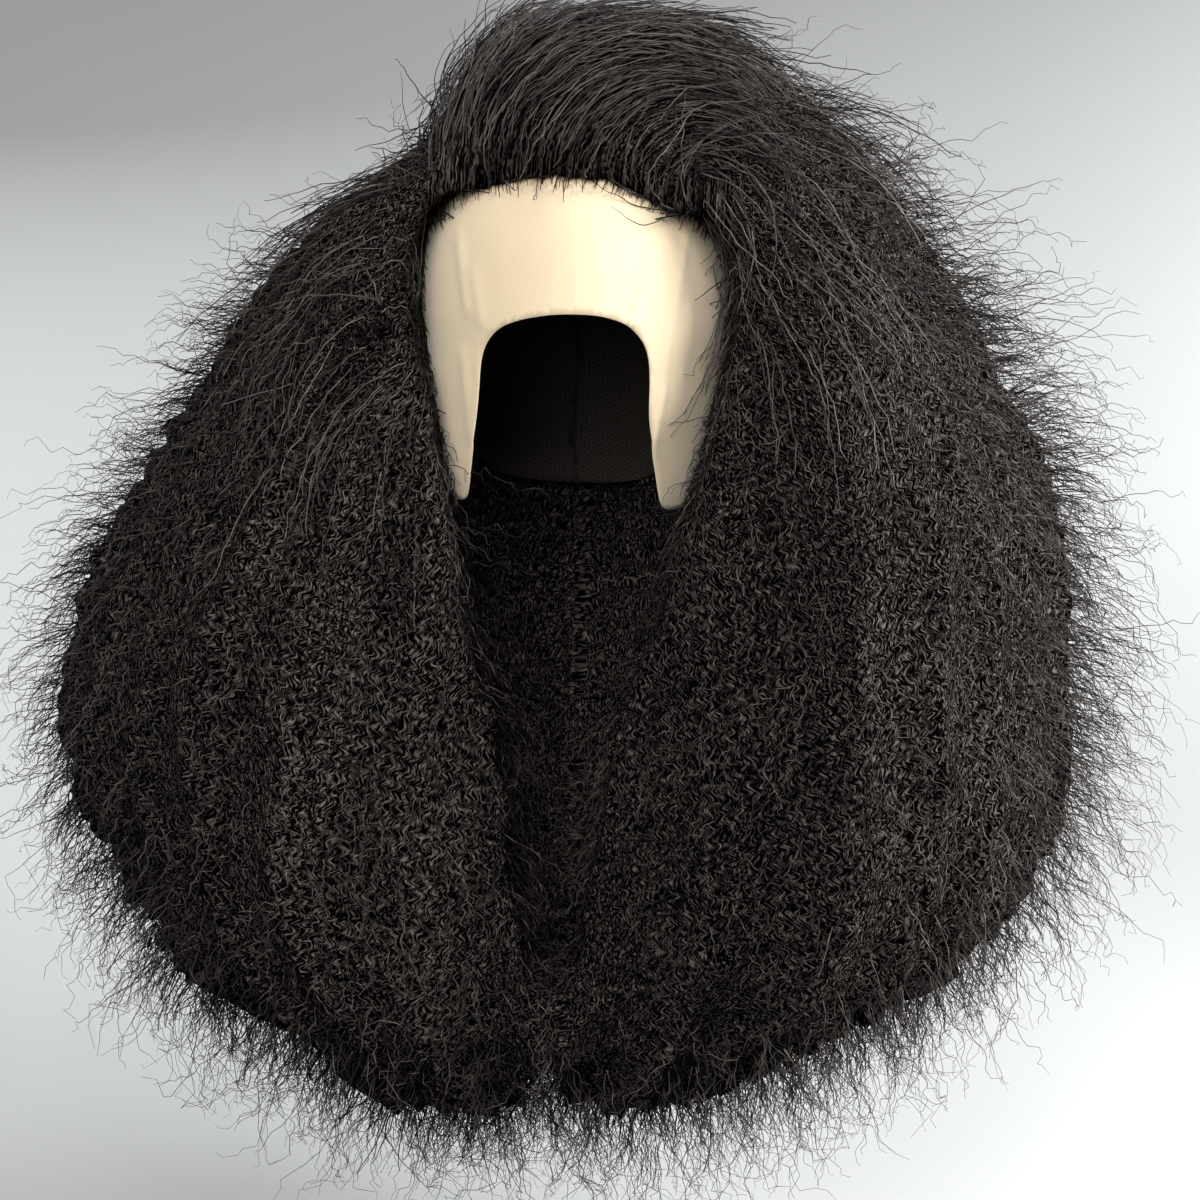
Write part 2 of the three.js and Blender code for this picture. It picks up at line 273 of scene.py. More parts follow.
feed(paper_shader, Base_Color=cloudy.mix(PAPER_DARK, PAPER_LIGHT))
backdrop.data.materials.append(paper)
backdrop.visible_diffuse = False
backdrop.visible_glossy = False

# Cap
# Dark stretch net from the seam of the lace over the crown and round to the nape, the ground that
# the rows of hair are sewn to. The sewn rows show inside as low ridges, one above another.
CAP_WALL = 0.0009
CAP_EDGE_LENGTH = 0.0056
CAP_ROW_PITCH = 0.013
CAP_ROW_HEIGHT = 0.0009
CAP_CELL = 0.0022
CAP_DARK = (0.006, 0.0045, 0.004, 1)
CAP_THREAD = (0.03, 0.021, 0.017, 1)
NET_SLANT = 0.866
MERGE_DISTANCE = 1e-5
CUT_ROUNDS = 6
LONG_EDGE = 1.4
DOME_CENTRE_Z = -0.1
DOME_RADIUS = 0.078
SHEET_FACING = 0.3
SMOOTHING_STEPS = 14
RIM_SMOOTHING = 8


def dome_outward(point):
    """Direction straight out of the dome at one of its points: level below its widest ring."""
    away = Vector((point.x, point.y, max(0.0, point.z - DOME_CENTRE_Z)))
    return away.normalized()


def rim_middle(vertex):
    """Midpoint of a rim vertex's two neighbours on the rim."""
    beside = [edge.other_vert(vertex).co for edge in vertex.link_edges if edge.is_boundary]
    return sum(beside, Vector()) / len(beside)


def outer_sheet(node, edge_length):
    """The outer face of a thin solid as an open sheet of even triangles, rounded between its edges."""
    sheet = bmesh.new()
    sheet.from_mesh(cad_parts[node].data)
    bmesh.ops.remove_doubles(sheet, verts=sheet.verts, dist=MERGE_DISTANCE)
    sheet.normal_update()
    hidden = [
        face
        for face in sheet.faces
        if face.normal.dot(dome_outward(face.calc_center_median())) < SHEET_FACING
    ]
    bmesh.ops.delete(sheet, geom=hidden, context="FACES")
    for _ in range(CUT_ROUNDS):
        long_edges = [
            edge for edge in sheet.edges if edge.calc_length() > LONG_EDGE * edge_length(edge)
        ]
        if not long_edges:
            break
        bmesh.ops.subdivide_edges(sheet, edges=long_edges, cuts=1)
        bmesh.ops.triangulate(sheet, faces=sheet.faces[:])
        bmesh.ops.beautify_fill(sheet, faces=sheet.faces[:], edges=sheet.edges[:])
    rim = [vertex for vertex in sheet.verts if vertex.is_boundary]
    for _ in range(RIM_SMOOTHING):
        along_rim = [rim_middle(vertex) for vertex in rim]
        for vertex, middle in zip(rim, along_rim):
            vertex.co = vertex.co.lerp(middle, 0.5)
    inner = [vertex for vertex in sheet.verts if not vertex.is_boundary]
    for _ in range(SMOOTHING_STEPS):
        bmesh.ops.smooth_vert(
            sheet, verts=inner, factor=0.5, use_axis_x=True, use_axis_y=True, use_axis_z=True
        )
    sheet.normal_update()
    return sheet


def unwrap_dome(sheet):
    """A map of the dome in metres: round it and up it."""
    layer = sheet.loops.layers.uv.new("net")
    for face in sheet.faces:
        for loop in face.loops:
            point = loop.vert.co
            loop[layer].uv = (math.atan2(point.x, -point.y) * DOME_RADIUS, point.z)


def finished(name, source, material):
    """A plain mesh object at the origin from a bmesh or from an object with live modifiers."""
    if isinstance(source, bmesh.types.BMesh):
        mesh = bpy.data.meshes.new(name)
        source.to_mesh(mesh)
        source.free()
        made = bpy.data.objects.new(name, mesh)
    else:
        graph = bpy.context.evaluated_depsgraph_get()
        mesh = bpy.data.meshes.new_from_object(source.evaluated_get(graph), depsgraph=graph)
        bpy.data.objects.remove(source)
        made = bpy.data.objects.new(name, mesh)
    mesh.materials.clear()
    mesh.materials.append(material)
    mesh.polygons.foreach_set("use_smooth", [True] * len(mesh.polygons))
    scene.collection.objects.link(made)
    return made


def thickened(made, wall):
    """The sheet given its wall, on its inner side."""
    solidify = made.modifiers.new("wall", "SOLIDIFY")
    solidify.thickness = wall
    solidify.offset = -1
    name = made.name
    material = made.data.materials[0]
    bpy.context.view_layer.update()
    made.name = name + "_sheet"
    return finished(name, made, material)


def honeycomb(tree, cell):
    """Three crossed waves on the dome's map: high in a six-sided net's holes, low on its threads."""
    net = add_node(tree, "ShaderNodeUVMap", uv_map="net")
    along = net.node("ShaderNodeSeparateXYZ", {0: net}, "X")
    up = net.node("ShaderNodeSeparateXYZ", {0: net}, "Y")
    turn = 2 * math.pi / cell
    first = (along * turn).maths("COSINE")
    second = (along * (turn / 2) + up * (turn * NET_SLANT)).maths("COSINE")
    third = (along * (turn / 2) - up * (turn * NET_SLANT)).maths("COSINE")
    return first + second + third


cap_sheet = outer_sheet("cap", lambda edge: CAP_EDGE_LENGTH)
for vertex in cap_sheet.verts:
    row = math.sin(2 * math.pi * vertex.co.z / CAP_ROW_PITCH)
    vertex.co += vertex.normal * (CAP_ROW_HEIGHT * (max(0.0, row) - 1))
unwrap_dome(cap_sheet)
cap_net, cap_tree, cap_shader = new_material("cap_net", Roughness=0.75)
cap_holes = honeycomb(cap_tree, CAP_CELL)
cap_threads = 1 - cap_holes.between(-0.4, 1.2)
feed(cap_shader, Base_Color=cap_threads.mix(CAP_DARK, CAP_THREAD))
cap_bump = cap_threads.node(
    "ShaderNodeBump", {"Strength": 0.6, "Distance": 0.0006, "Height": cap_threads}
)
feed(cap_shader, Normal=cap_bump)
cap = thickened(finished("cap_cloth", cap_sheet, cap_net), CAP_WALL)
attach(cap, "root")
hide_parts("cap")

# Lace front
# Sheer cream net over the front of the dome, its front edge left untrimmed: a flap over the brow and
# a band down each side of the face. It is pulled tight, with a few small creases.
LACE_WALL = 0.00045
LACE_EDGE_LENGTH = 0.0032
LACE_HIDDEN_EDGE_LENGTH = 0.006
LACE_HIDDEN_ABOVE = -0.035
LACE_CELL = 0.0011
LACE_SHEER = 0.1
LACE_SHADE = (0.82, 0.65, 0.43, 1)
LACE_CREAM = (0.90, 0.75, 0.52, 1)
KNOT_BROWN = (0.16, 0.085, 0.058, 1)
KNOT_BAND = {"brow": 0.012, "side": 0.005}
BROW_FOOT = -0.075

# Creases in the front view: where each starts and ends, how high it stands and how wide it is
LACE_CREASES = [
    {"start": (-0.054, -0.077), "end": (-0.048, -0.110), "height": 0.0011, "width": 0.0022},
    {"start": (-0.046, -0.092), "end": (-0.041, -0.114), "height": 0.0009, "width": 0.0026},
    {"start": (-0.050, -0.128), "end": (-0.045, -0.168), "height": 0.0008, "width": 0.0022},
    {"start": (0.035, -0.080), "end": (0.026, -0.110), "height": 0.0012, "width": 0.0024},
    {"start": (0.050, -0.070), "end": (0.038, -0.164), "height": 0.0006, "width": 0.0018},
    {"start": (0.042, -0.142), "end": (0.036, -0.172), "height": 0.0012, "width": 0.0022},
]


def crease_height(x, z):
    """How far the creases lift the lace at a point of the front view."""
    height = 0.0
    for crease in LACE_CREASES:
        start = Vector(crease["start"])
        run = Vector(crease["end"]) - start
        share = (Vector((x, z)) - start).dot(run) / run.length_squared
        nearest = start + run * min(1.0, max(0.0, share))
        away = (Vector((x, z)) - nearest).length / crease["width"]
        height += crease["height"] * math.exp(-away * away)
    return height


def lace_edge_length(edge):
    top = max(vertex.co.z for vertex in edge.verts)
    return LACE_HIDDEN_EDGE_LENGTH if top > LACE_HIDDEN_ABOVE else LACE_EDGE_LENGTH


# Hairline in the front view, from the foot of one side over the brow to the foot of the other
HAIRLINE = [
    (-0.047, -0.262), (-0.052, -0.220), (-0.059, -0.180), (-0.069, -0.140), (-0.075, -0.102),
    (-0.074, -0.080), (-0.066, -0.062), (-0.049, -0.052), (-0.024, -0.046), (0.012, -0.046),
    (0.030, -0.052), (0.056, -0.062), (0.071, -0.080), (0.075, -0.102), (0.070, -0.140),
    (0.061, -0.180), (0.051, -0.220), (0.043, -0.262),
]


def hairline_distance(points):
    """Distance of front-view points, as rows of x and z, from the hairline."""
    line = np.array(HAIRLINE)
    nearest = np.full(len(points), np.inf)
    for start, end in zip(line[:-1], line[1:]):
        run = end - start
        share = np.clip(((points - start) @ run) / (run @ run), 0, 1)
        away = np.linalg.norm(points - start - share[:, None] * run, axis=1)
        nearest = np.minimum(nearest, away)
    return nearest


def inside_hairline(points):
    """True for front-view points on the face's side of the hairline."""
    x, z = points.T
    crossings = np.zeros(len(points), dtype=int)
    line = HAIRLINE + HAIRLINE[:1]
    for (x_0, z_0), (x_1, z_1) in zip(line[:-1], line[1:]):
        spans = (z_0 > z) != (z_1 > z)
        meets = x_0 + (z - z_0) * (x_1 - x_0) / (z_1 - z_0 if z_1 != z_0 else 1e-9)
        crossings += spans & (x < meets)
    return crossings % 2 == 1


def write_attribute(mesh, name, values):
    """A named value or vector for each vertex of a mesh."""
    values = np.asarray(values, dtype=np.float32)
    kind, field = ("FLOAT_VECTOR", "vector") if values.ndim == 2 else ("FLOAT", "value")
    layer = mesh.attributes.get(name) or mesh.attributes.new(name, kind, "POINT")
    layer.data.foreach_set(field, values.ravel())


def vertex_places(mesh):
    flat = np.empty(3 * len(mesh.vertices), dtype=np.float32)
    mesh.vertices.foreach_get("co", flat)
    return flat.reshape(-1, 3).astype(float)


def vertex_normals(mesh):
    flat = np.empty(3 * len(mesh.vertices), dtype=np.float32)
    mesh.vertex_normals.foreach_get("vector", flat)
    return flat.reshape(-1, 3).astype(float)


lace_sheet = outer_sheet("lace_front", lace_edge_length)
for vertex in lace_sheet.verts:
    if vertex.co.y < 0:
        vertex.co += vertex.normal * crease_height(vertex.co.x, vertex.co.z)
unwrap_dome(lace_sheet)

lace_net, lace_tree, lace_shader = new_material("lace_net", Roughness=0.8, Sheen_Weight=0.6)
lace_holes = honeycomb(lace_tree, LACE_CELL).between(0.2, 1.6)
knots = add_node(lace_tree, "ShaderNodeAttribute", out="Fac", attribute_name="knots")
lace_place = add_node(lace_tree, "ShaderNodeTexCoord", out="Object")
lace_cloud = lace_place.node(
    "ShaderNodeTexNoise", {"Vector": lace_place, "Scale": 28.0, "Detail": 3.0}
)
lace_cream = lace_cloud.mix(LACE_SHADE, LACE_CREAM)
lace_patchy = lace_place.node(
    "ShaderNodeTexNoise", {"Vector": lace_place, "Scale": 420.0, "Detail": 2.0}
)
lace_tint = (knots * lace_patchy.between(0.3, 0.75)).mix(lace_cream, KNOT_BROWN)
feed(lace_shader, Base_Color=lace_tint)
feed(lace_shader, Alpha=1 - lace_holes * LACE_SHEER)
lace_threads = 1 - lace_holes
lace_bump = lace_threads.node(
    "ShaderNodeBump", {"Strength": 0.2, "Distance": 0.0002, "Height": lace_threads}
)
feed(lace_shader, Normal=lace_bump)
lace = thickened(finished("lace_cloth", lace_sheet, lace_net), LACE_WALL)
lace_places = vertex_places(lace.data)
lace_front_view = lace_places[:, [0, 2]]
lace_side = np.where(inside_hairline(lace_front_view), 1, -1)
lace_into_face = hairline_distance(lace_front_view) * lace_side
knot_band = np.where(lace_places[:, 2] > BROW_FOOT, KNOT_BAND["brow"], KNOT_BAND["side"])
write_attribute(lace.data, "knots", np.clip(1 - lace_into_face / knot_band, 0, 1))
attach(lace, "root")
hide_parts("lace_front")

# Deep hair
# The dark body of the crimped hair, sewn to the cap and knotted to the lace, too close for single
# strands to show. It keeps the form of the locks, drawn in from their surface so that the loose
# strands make up the outside, and runs on below the swept front, which is a piece of its own.
BODY_NODES = ("left_hair", "right_hair", "back_hair")
FRONT_NODES = ("front_hair",)
BODY_VOXEL = 0.0061
BODY_SMOOTHING = 360
SMOOTHING_PULL = {"face": 0.05, "gain": 0.45, "reach": (0.008, 0.045), "back": 0.5}
SMOOTHING_BACK = 0.03
SMOOTHING_SWELL = 1.02
FRONT_VOXEL = 0.0032
FRONT_SMOOTHING = 8
NODE_OVERLAP = 0.0004
RAY_START = 0.004
RAY_STEP_IN = 0.0005
RAY_REACH = 0.4
HOLLOW_WIDTH = 0.07
HOLLOW_FRONT = -0.03
SKIN_DEPTH = {"body": 0.009, "front": 0.003, "hollow": 0.003}
SKIN_ZONE = {"face": (0.006, 0.04), "brow": (-0.19, -0.06), "back": (0.03, 0.08)}
FACE_THINNING = 0.9
BACK_INSET = 0.008
BACK_REACH = (0.1, 0.23)
RIM_MIDDLE = np.array((-0.008, -0.279))
RIM_SECTOR = 6
RIM_REACH = (0.5, 1.0)

# How far the body is drawn in from its rim in the front view, by the angle round its middle in degrees
RIM_INSET = {
    0: 0.034, 15: 0.032, 30: 0.042, 45: 0.034, 60: 0.018, 80: 0.0, 115: 0.0, 135: 0.012,
    150: 0.013, 180: 0.015, 195: 0.014, 210: 0.036, 225: 0.037, 240: 0.048, 255: 0.022,
    270: 0.026, 285: 0.030, 300: 0.055, 315: 0.062, 330: 0.052, 345: 0.034, 360: 0.034,
}
SKIN_SHARE = 0.4
LUMP_SIZE = (0.034, 0.013)
LUMP_HEIGHT = (0.0032, 0.0016)
LUMP_THICK = (0.01, 0.06)
LUMP_TURN = Matrix.Rotation(0.7, 3, Vector((1, 2, 1.5)))
FRAY_SIZE = 0.011
FRAY_HEIGHT = 0.008
FRAY_REACH = (0.8, 1.0)
FRAY_LEAST_INSET = 0.005
FRONT_SINK = 0.011
FRONT_FADE = (0.004, 0.014)
CROWN_SINK = {"share": 0.4, "back": -0.005, "front": 0.025}
LIP_REACH = 0.032
LIP_RETREAT = Vector((0, 0.010, 0.013))
HAIRLINE_WEDGE = {"reach": 0.022, "back": 0.02, "height": 0.0011, "slope": 1.3, "ends": 0.03}
WEDGE_MIDDLE_X = -0.003
WEDGE_ENDS = (0.05, 0.068)
CROWN = np.array((0.008, 0.010, 0.029))
SWEEP_CENTRE = (0.054, -0.046)
SWEEP_HOLLOW = {"width": 0.009, "depth": 0.007, "facing": (0, 0.5)}
SWEEP_OVAL = 1.25
SWEEP_RADIUS = 0.07
SWEEP_SPREAD = 0.7
FRONT_ZONE = {
    "left": (-0.076, -0.064),
    "right": (-0.17, -0.09),
    "back": (-0.06, -0.01),
    "foot": (-0.13, -0.085),
}
TEMPLE_ZONE = {"side": (0.066, 0.074), "back": (-0.03, 0.01), "foot": (-0.18, -0.12)}
TEMPLE_X = -0.072
TEMPLE_REACH = 0.062
FALL_PULL = 0.9
FALL_START = 0.2
FALL_LIFT = 0.15
HEM_LIFT = 0.35
HEM_FACING = (0.3, 0.8)
GRAIN_RADIUS = 0.2
GRAIN_LEAST_RADIUS = 0.01
SHELL_RADIUS = 0.25
BAND_STEP = 7
GRAIN_DRIFT = {"scale": 60.0, "phase": 12, "swing": 0.002, "layer": 4}
GRAIN_TONE_AND_GLINT_RANGE = (0.44, 0.72)
GRAIN_BUMP = 0.0014
HAIR_ROUGHNESS = 0.38
DASH_WIDTH = 0.0009
CRIMP_LENGTH = 0.0072
BEND_STEP = 0.018
BEND_MOST = 22.0
BOX_MARGIN = 0.009
LEAST_FLOW = 0.02
FRIZZ_DEPTH = (0.003, 0.034)
HAIR_DARK = (0.0012, 0.001, 0.001, 1)
# Lightest hair tone, which is also the colour of the painted glints on the strands and the deep hair.
HAIR_TONE_AND_GLINT = (0.185, 0.157, 0.149, 1)


def ease(values, low, high):
    """0 at low and 1 at high, eased at both ends, for arrays."""
    share = np.clip((values - low) / (high - low), 0, 1)
    return share * share * (3 - 2 * share)


def unit(vectors):
    return vectors / np.maximum(np.linalg.norm(vectors, axis=1, keepdims=True), 1e-9)


def joined_nodes(names):
    """One mesh of several solids, each swollen by a hair's breadth so that they meet."""
    whole = bmesh.new()
    for name in names:
        solid = bmesh.new()
        solid.from_mesh(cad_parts[name].data)
        bmesh.ops.remove_doubles(solid, verts=solid.verts, dist=MERGE_DISTANCE)
        solid.normal_update()
        for vertex in solid.verts:
            vertex.co += vertex.normal * NODE_OVERLAP
        swollen = bpy.data.meshes.new(name + "_swollen")
        solid.to_mesh(swollen)
        solid.free()
        whole.from_mesh(swollen)
        bpy.data.meshes.remove(swollen)
    return whole


def deep_form(names, voxel):
    """Solids of the hair as one even mesh."""
    whole = joined_nodes(names)
    mesh = bpy.data.meshes.new("deep_form")
    whole.to_mesh(mesh)
    whole.free()
    source = bpy.data.objects.new("deep_form", mesh)
    scene.collection.objects.link(source)
    remesh = source.modifiers.new("even", "REMESH")
    remesh.mode = "VOXEL"
    remesh.voxel_size = voxel
    bpy.context.view_layer.update()
    return source


def soften(mesh, steps):
    """Evens out a mesh without shrinking it, less beside the face where the hair is thin."""
    pairs = np.empty(2 * len(mesh.edges), dtype=np.int32)
    mesh.edges.foreach_get("vertices", pairs)
    first, second = pairs.reshape(-1, 2).T
    places = vertex_places(mesh)
    count = len(places)
    share = np.bincount(first, minlength=count) + np.bincount(second, minlength=count)
    away = ease(hairline_distance(places[:, [0, 2]]), *SMOOTHING_PULL["reach"])
    pull = SMOOTHING_PULL["face"] + SMOOTHING_PULL["gain"] * away
    pull = np.where(places[:, 1] > SMOOTHING_BACK, SMOOTHING_PULL["back"], pull)
    for step in range(steps):
        middle = np.zeros_like(places)
        for axis in range(3):
            middle[:, axis] += np.bincount(first, places[second, axis], count)
            middle[:, axis] += np.bincount(second, places[first, axis], count)
        swell = 1 if step % 2 == 0 else -SMOOTHING_SWELL
        places += (middle / share[:, None] - places) * pull[:, None] * swell
    mesh.vertices.foreach_set("co", places.astype(np.float32).ravel())
    mesh.update()


def surface_tree(mesh):
    """The mesh's faces, ready for rays and nearest points."""
    faces = [tuple(polygon.vertices) for polygon in mesh.polygons]
    return BVHTree.FromPolygons([vertex.co.copy() for vertex in mesh.vertices], faces)


hair_solids = joined_nodes(BODY_NODES + FRONT_NODES)
hair_rays = BVHTree.FromBMesh(hair_solids)
hair_solids.free()


def look_out(own_rays, places, normals):
    """For each vertex, 1 if it faces the open air, and how thick the hair is behind it."""
    open_air = np.ones(len(places))
    thick = np.full(len(places), RAY_REACH)
    for number, (place, normal) in enumerate(zip(places, normals)):
        place = Vector(place)
        normal = Vector(normal)
        inward = own_rays.ray_cast(place - normal * RAY_STEP_IN, -normal, RAY_REACH)
        if inward[0] is not None:
            thick[number] = inward[3] + RAY_STEP_IN
        _, facing, _, away = hair_rays.ray_cast(place + normal * RAY_START, normal, RAY_REACH)
        if facing is not None:
            in_hollow = away > HOLLOW_WIDTH and place.y > HOLLOW_FRONT
            open_air[number] = 0 if in_hollow or facing.dot(normal) > 0 else 1
    return open_air, thick


def front_zone(places):
    """1 over the brow, where the hair is swept round, fading into the sides and the back."""
    x, y, z = places.T
    return (
        ease(x, *FRONT_ZONE["left"])
        * ease(-x, *FRONT_ZONE["right"])
        * ease(-y, *FRONT_ZONE["back"])
        * ease(z, *FRONT_ZONE["foot"])
    )


def hair_flow(places, normals):
    """Which way the hair lies: down off the crown, round over the brow, down at the temple."""
    x, y, z = places.T
    fall = unit(places - CROWN)
    fall[:, 2] -= FALL_PULL * np.clip((CROWN[2] - z) / FALL_START, 0, 1)
    across = x - SWEEP_CENTRE[0]
    up = z - SWEEP_CENTRE[1]
    rise = SWEEP_OVAL * np.maximum(up, 0)
    sweep = np.stack([rise, np.zeros_like(x), -across / SWEEP_OVAL], axis=1)
    sweep[:, 0] += SWEEP_SPREAD * np.maximum(across, 0)
    sweep = unit(sweep)
    turn = np.clip((TEMPLE_X - x) / TEMPLE_REACH, 0, 1) * math.pi / 2
    temple = np.stack([-np.cos(turn), np.zeros_like(x), -np.sin(turn)], axis=1)
    in_sweep = front_zone(places)[:, None]
    at_temple = ease(-x, *TEMPLE_ZONE["side"]) * ease(-y, *TEMPLE_ZONE["back"])
    at_temple = (at_temple * ease(z, *TEMPLE_ZONE["foot"]))[:, None]
    blended = unit(fall) * (1 - at_temple) + temple * at_temple
    blended = blended * (1 - in_sweep) + sweep * in_sweep
    outward = np.sum(blended * normals, axis=1)
    lift = FALL_LIFT + (HEM_LIFT - FALL_LIFT) * ease(-normals[:, 2], *HEM_FACING)
    kept = np.where(outward > 0, lift, 0)
    return unit(blended - normals * (outward * (1 - kept))[:, None])


def flow_bend(own_rays, mesh, places, flow):
    """How the flow turns as it runs over the surface: change of direction for each metre."""
    bend = np.zeros_like(places)
    corners = [polygon.vertices[0] for polygon in mesh.polygons]
    for number, (place, way) in enumerate(zip(places, flow)):
        face = own_rays.find_nearest(Vector(place + way * BEND_STEP))[2]
        bend[number] = (flow[corners[face]] - way) / BEND_STEP
    size = np.linalg.norm(bend, axis=1, keepdims=True)
    return bend * np.minimum(1, BEND_MOST / np.maximum(size, 1e-9))


def flow_room(places, flow):
    """How far the flow can run before it leaves the box of the solids."""
    low, high = (np.array(corner) for corner in cad_box)
    ahead = np.where(flow > 0, high - places, places - low) + BOX_MARGIN
    return np.min(ahead / np.maximum(np.abs(flow), LEAST_FLOW), axis=1)


def hair_grain(places, front):
    """For the shader's grain: place across the locks, along them, their scale, and their shell."""
    x, y, z = places.T
    if front:
        across = x - SWEEP_CENTRE[0]
        up = z - SWEEP_CENTRE[1]
        rise = np.maximum(up, 0) * SWEEP_OVAL
        below = np.minimum(up, 0) * np.where(across < 0, 1, -1)
        round_sweep = np.arctan2(rise, across) * SWEEP_RADIUS - below
        from_centre = np.hypot(across, rise) / GRAIN_RADIUS
        level = np.zeros_like(x)
        return np.stack([from_centre, round_sweep, level], axis=1), level
    right = x - CROWN[0]
    ahead = CROWN[1] - y
    from_axis = np.maximum(np.hypot(right, ahead), GRAIN_LEAST_RADIUS)
    down = np.linalg.norm(places - CROWN, axis=1)
    shell = np.arctan2(from_axis, CROWN[2] - z)
    around = np.arctan2(np.abs(right), ahead)
    band = np.log2(from_axis / GRAIN_RADIUS)
    return np.stack([around, down, band], axis=1), shell


def lump_height(place):
    point = LUMP_TURN @ Vector(place)
    return sum(height * noise.noise(point / size) for size, height in zip(LUMP_SIZE, LUMP_HEIGHT))


def fray_height(place):
    return noise.noise(LUMP_TURN @ Vector(place) / FRAY_SIZE) * FRAY_HEIGHT


def rim_polar(places):
    """Angle round the body's middle in the front view, in degrees, and share of the way to its rim."""
    away = places[:, [0, 2]] - RIM_MIDDLE
    reach = np.linalg.norm(away, axis=1)
    angle = np.degrees(np.arctan2(away[:, 1], away[:, 0])) % 360
    rim = np.zeros(360 // RIM_SECTOR)
    np.maximum.at(rim, (angle // RIM_SECTOR).astype(int), reach)
    rim_angles = (np.arange(len(rim)) + 0.5) * RIM_SECTOR
    return angle, reach / np.interp(angle, rim_angles, rim, period=360)


def rim_share(places):
    """1 at the rim of the front view, where the hair is frayed, and 0 well inside it."""
    angle, share = rim_polar(places)
    inset = np.interp(angle, list(RIM_INSET), list(RIM_INSET.values()))
    return ease(share, *FRAY_REACH) * (inset > FRAY_LEAST_INSET)


def drawn_in(places):
    """Shift that draws the body of the hair in from its rim in the front view and from its back."""
    angle, share = rim_polar(places)
    inset = np.interp(angle, list(RIM_INSET), list(RIM_INSET.values())) * ease(share, *RIM_REACH)
    shift = np.zeros_like(places)
    shift[:, 0] = -np.cos(np.radians(angle)) * inset
    shift[:, 1] = -BACK_INSET * ease(places[:, 1], *BACK_REACH)
    shift[:, 2] = -np.sin(np.radians(angle)) * inset
    return shift


def skin_depth(places, open_air, thick):
    """How far the deep hair lies below the locks' surface: little beside the face and over the brow."""
    _, y, z = places.T
    beside_face = 1 - ease(hairline_distance(places[:, [0, 2]]), *SKIN_ZONE["face"])
    front = np.maximum(ease(z, *SKIN_ZONE["brow"]), beside_face) * (1 - ease(y, *SKIN_ZONE["back"]))
    thinned = 1 - FACE_THINNING * beside_face
    depth = SKIN_DEPTH["body"] * (1 - front) + SKIN_DEPTH["front"] * front * thinned
    depth = depth * open_air + SKIN_DEPTH["hollow"] * (1 - open_air)
    return np.minimum(depth, SKIN_SHARE * thick)


body_solids = joined_nodes(BODY_NODES)
body_rays = BVHTree.FromBMesh(body_solids)
body_solids.free()
lace_rays = surface_tree(lace.data)


def under_front(places):
    """1 where the body passes under the swept front hair, fading out towards the seam with it."""
    away = np.array([body_rays.find_nearest(Vector(place))[3] for place in places])
    return ease(away, *FRONT_FADE)


def wedged(places):
    """Lowers the front hair to the lace at the hairline, so that it rises from the lace as a wedge."""
    lowered = places.copy()
    front_view = places[:, [0, 2]]
    away = hairline_distance(front_view)
    behind = np.where(inside_hairline(front_view), 0, away)
    allowed = HAIRLINE_WEDGE["height"] + HAIRLINE_WEDGE["slope"] * behind
    allowed += HAIRLINE_WEDGE["ends"] * ease(np.abs(front_view[:, 0] - WEDGE_MIDDLE_X), *WEDGE_ENDS)
    near = (away < HAIRLINE_WEDGE["reach"]) & (places[:, 1] < HAIRLINE_WEDGE["back"])
    for number in np.flatnonzero(near):
        place = Vector(places[number])
        foot, _, _, height = lace_rays.find_nearest(place)
        if height > allowed[number]:
            lowered[number] = foot + (place - foot) * (allowed[number] / height)
    return lowered


